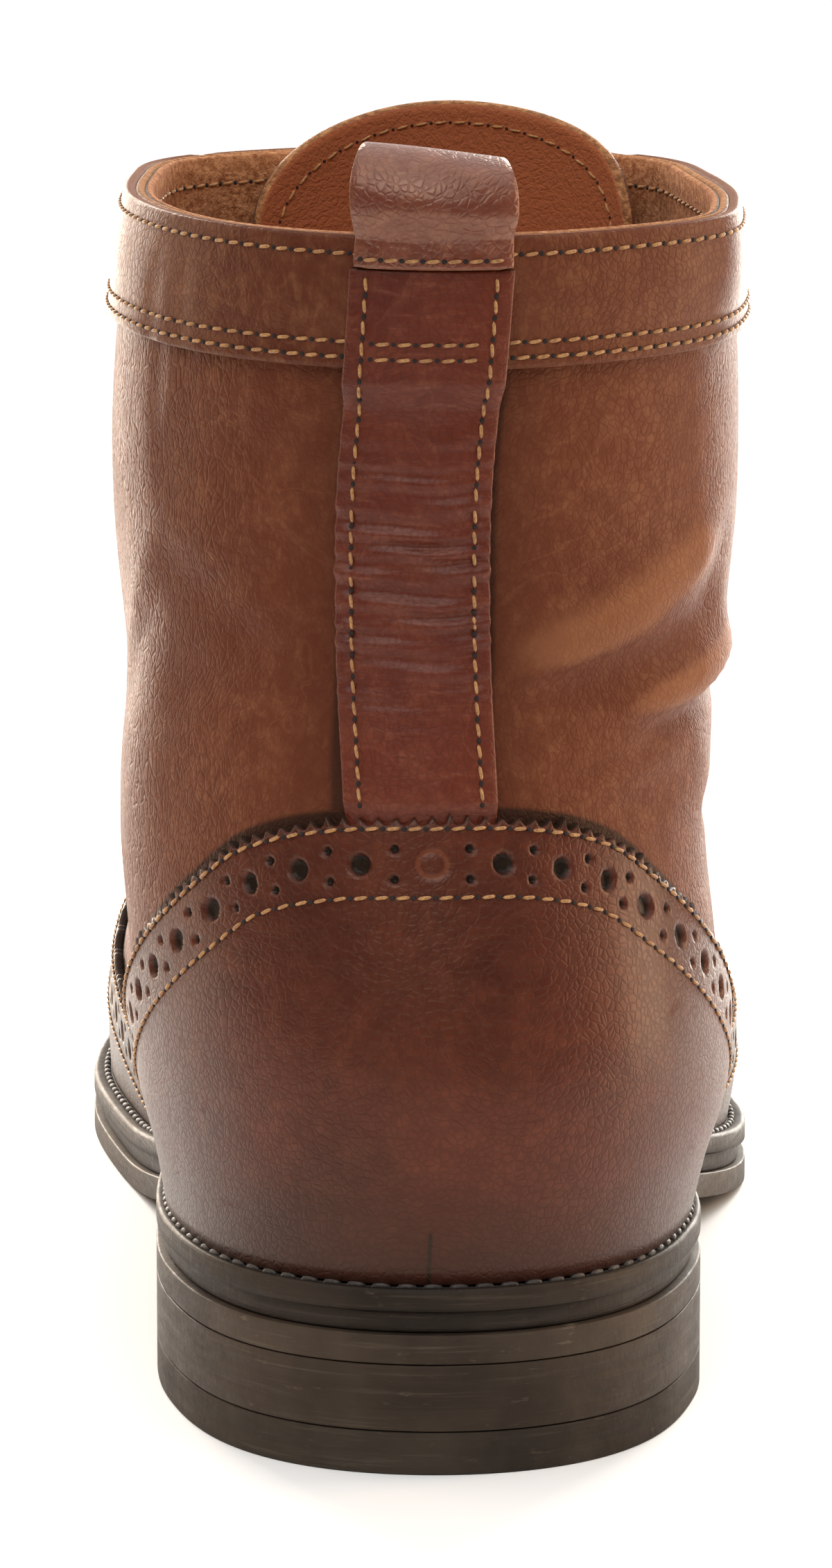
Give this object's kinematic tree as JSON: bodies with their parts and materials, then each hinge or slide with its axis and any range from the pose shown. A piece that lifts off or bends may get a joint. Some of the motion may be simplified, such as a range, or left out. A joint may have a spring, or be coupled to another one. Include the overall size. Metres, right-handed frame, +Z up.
{
  "type": "brogue boot",
  "caption": "Laced leather brogue ankle boot for the right foot, with a counter, wing toe cap, back strip, pull loop and stacked heel.",
  "frame": {"origin": "on the ground, under the middle of the boot's box", "axes": "+Y from the heel to the toe, +X to the outer (lateral) side of this right boot, +Z up"},
  "size_m": [0.0996, 0.298, 0.1623],
  "materials": {
    "upper_leather": "waxed brown",
    "trim_leather": "waxed darker brown",
    "tongue_leather": "tan, unwaxed",
    "sole_leather": "black-brown edge dressing",
    "heel_rubber": "matt",
    "insole_leather": "matt tan",
    "aged_brass": "antiqued",
    "lace_cotton": "waxed cotton"
  },
  "bodies": {
    "root": {"outsole": "sole_leather", "midsole": "sole_leather", "welt": "sole_leather", "heel_stack": "sole_leather", "heel_top_piece": "heel_rubber", "insole": "insole_leather", "upper": "upper_leather", "tongue": "tongue_leather", "counter": "trim_leather", "wing_toe_cap": "trim_leather", "eyestay_lateral": "upper_leather", "eyestay_medial": "upper_leather", "collar_band": "trim_leather", "back_strip": "upper_leather", "pull_loop": "trim_leather", "lace_bar": "lace_cotton", "lace_crossing_1": "lace_cotton", "lace_crossing_2": "lace_cotton", "lace_crossing_3": "lace_cotton", "lace_crossing_4": "lace_cotton", "lace_crossing_5": "lace_cotton", "lace_crossing_6": "lace_cotton", "eyelet_lateral_1": "aged_brass", "eyelet_lateral_2": "aged_brass", "eyelet_lateral_3": "aged_brass", "eyelet_lateral_4": "aged_brass", "eyelet_lateral_5": "aged_brass", "eyelet_lateral_6": "aged_brass", "eyelet_lateral_7": "aged_brass", "eyelet_medial_1": "aged_brass", "eyelet_medial_2": "aged_brass", "eyelet_medial_3": "aged_brass", "eyelet_medial_4": "aged_brass", "eyelet_medial_5": "aged_brass", "eyelet_medial_6": "aged_brass", "eyelet_medial_7": "aged_brass"}
  },
  "joints": []
}
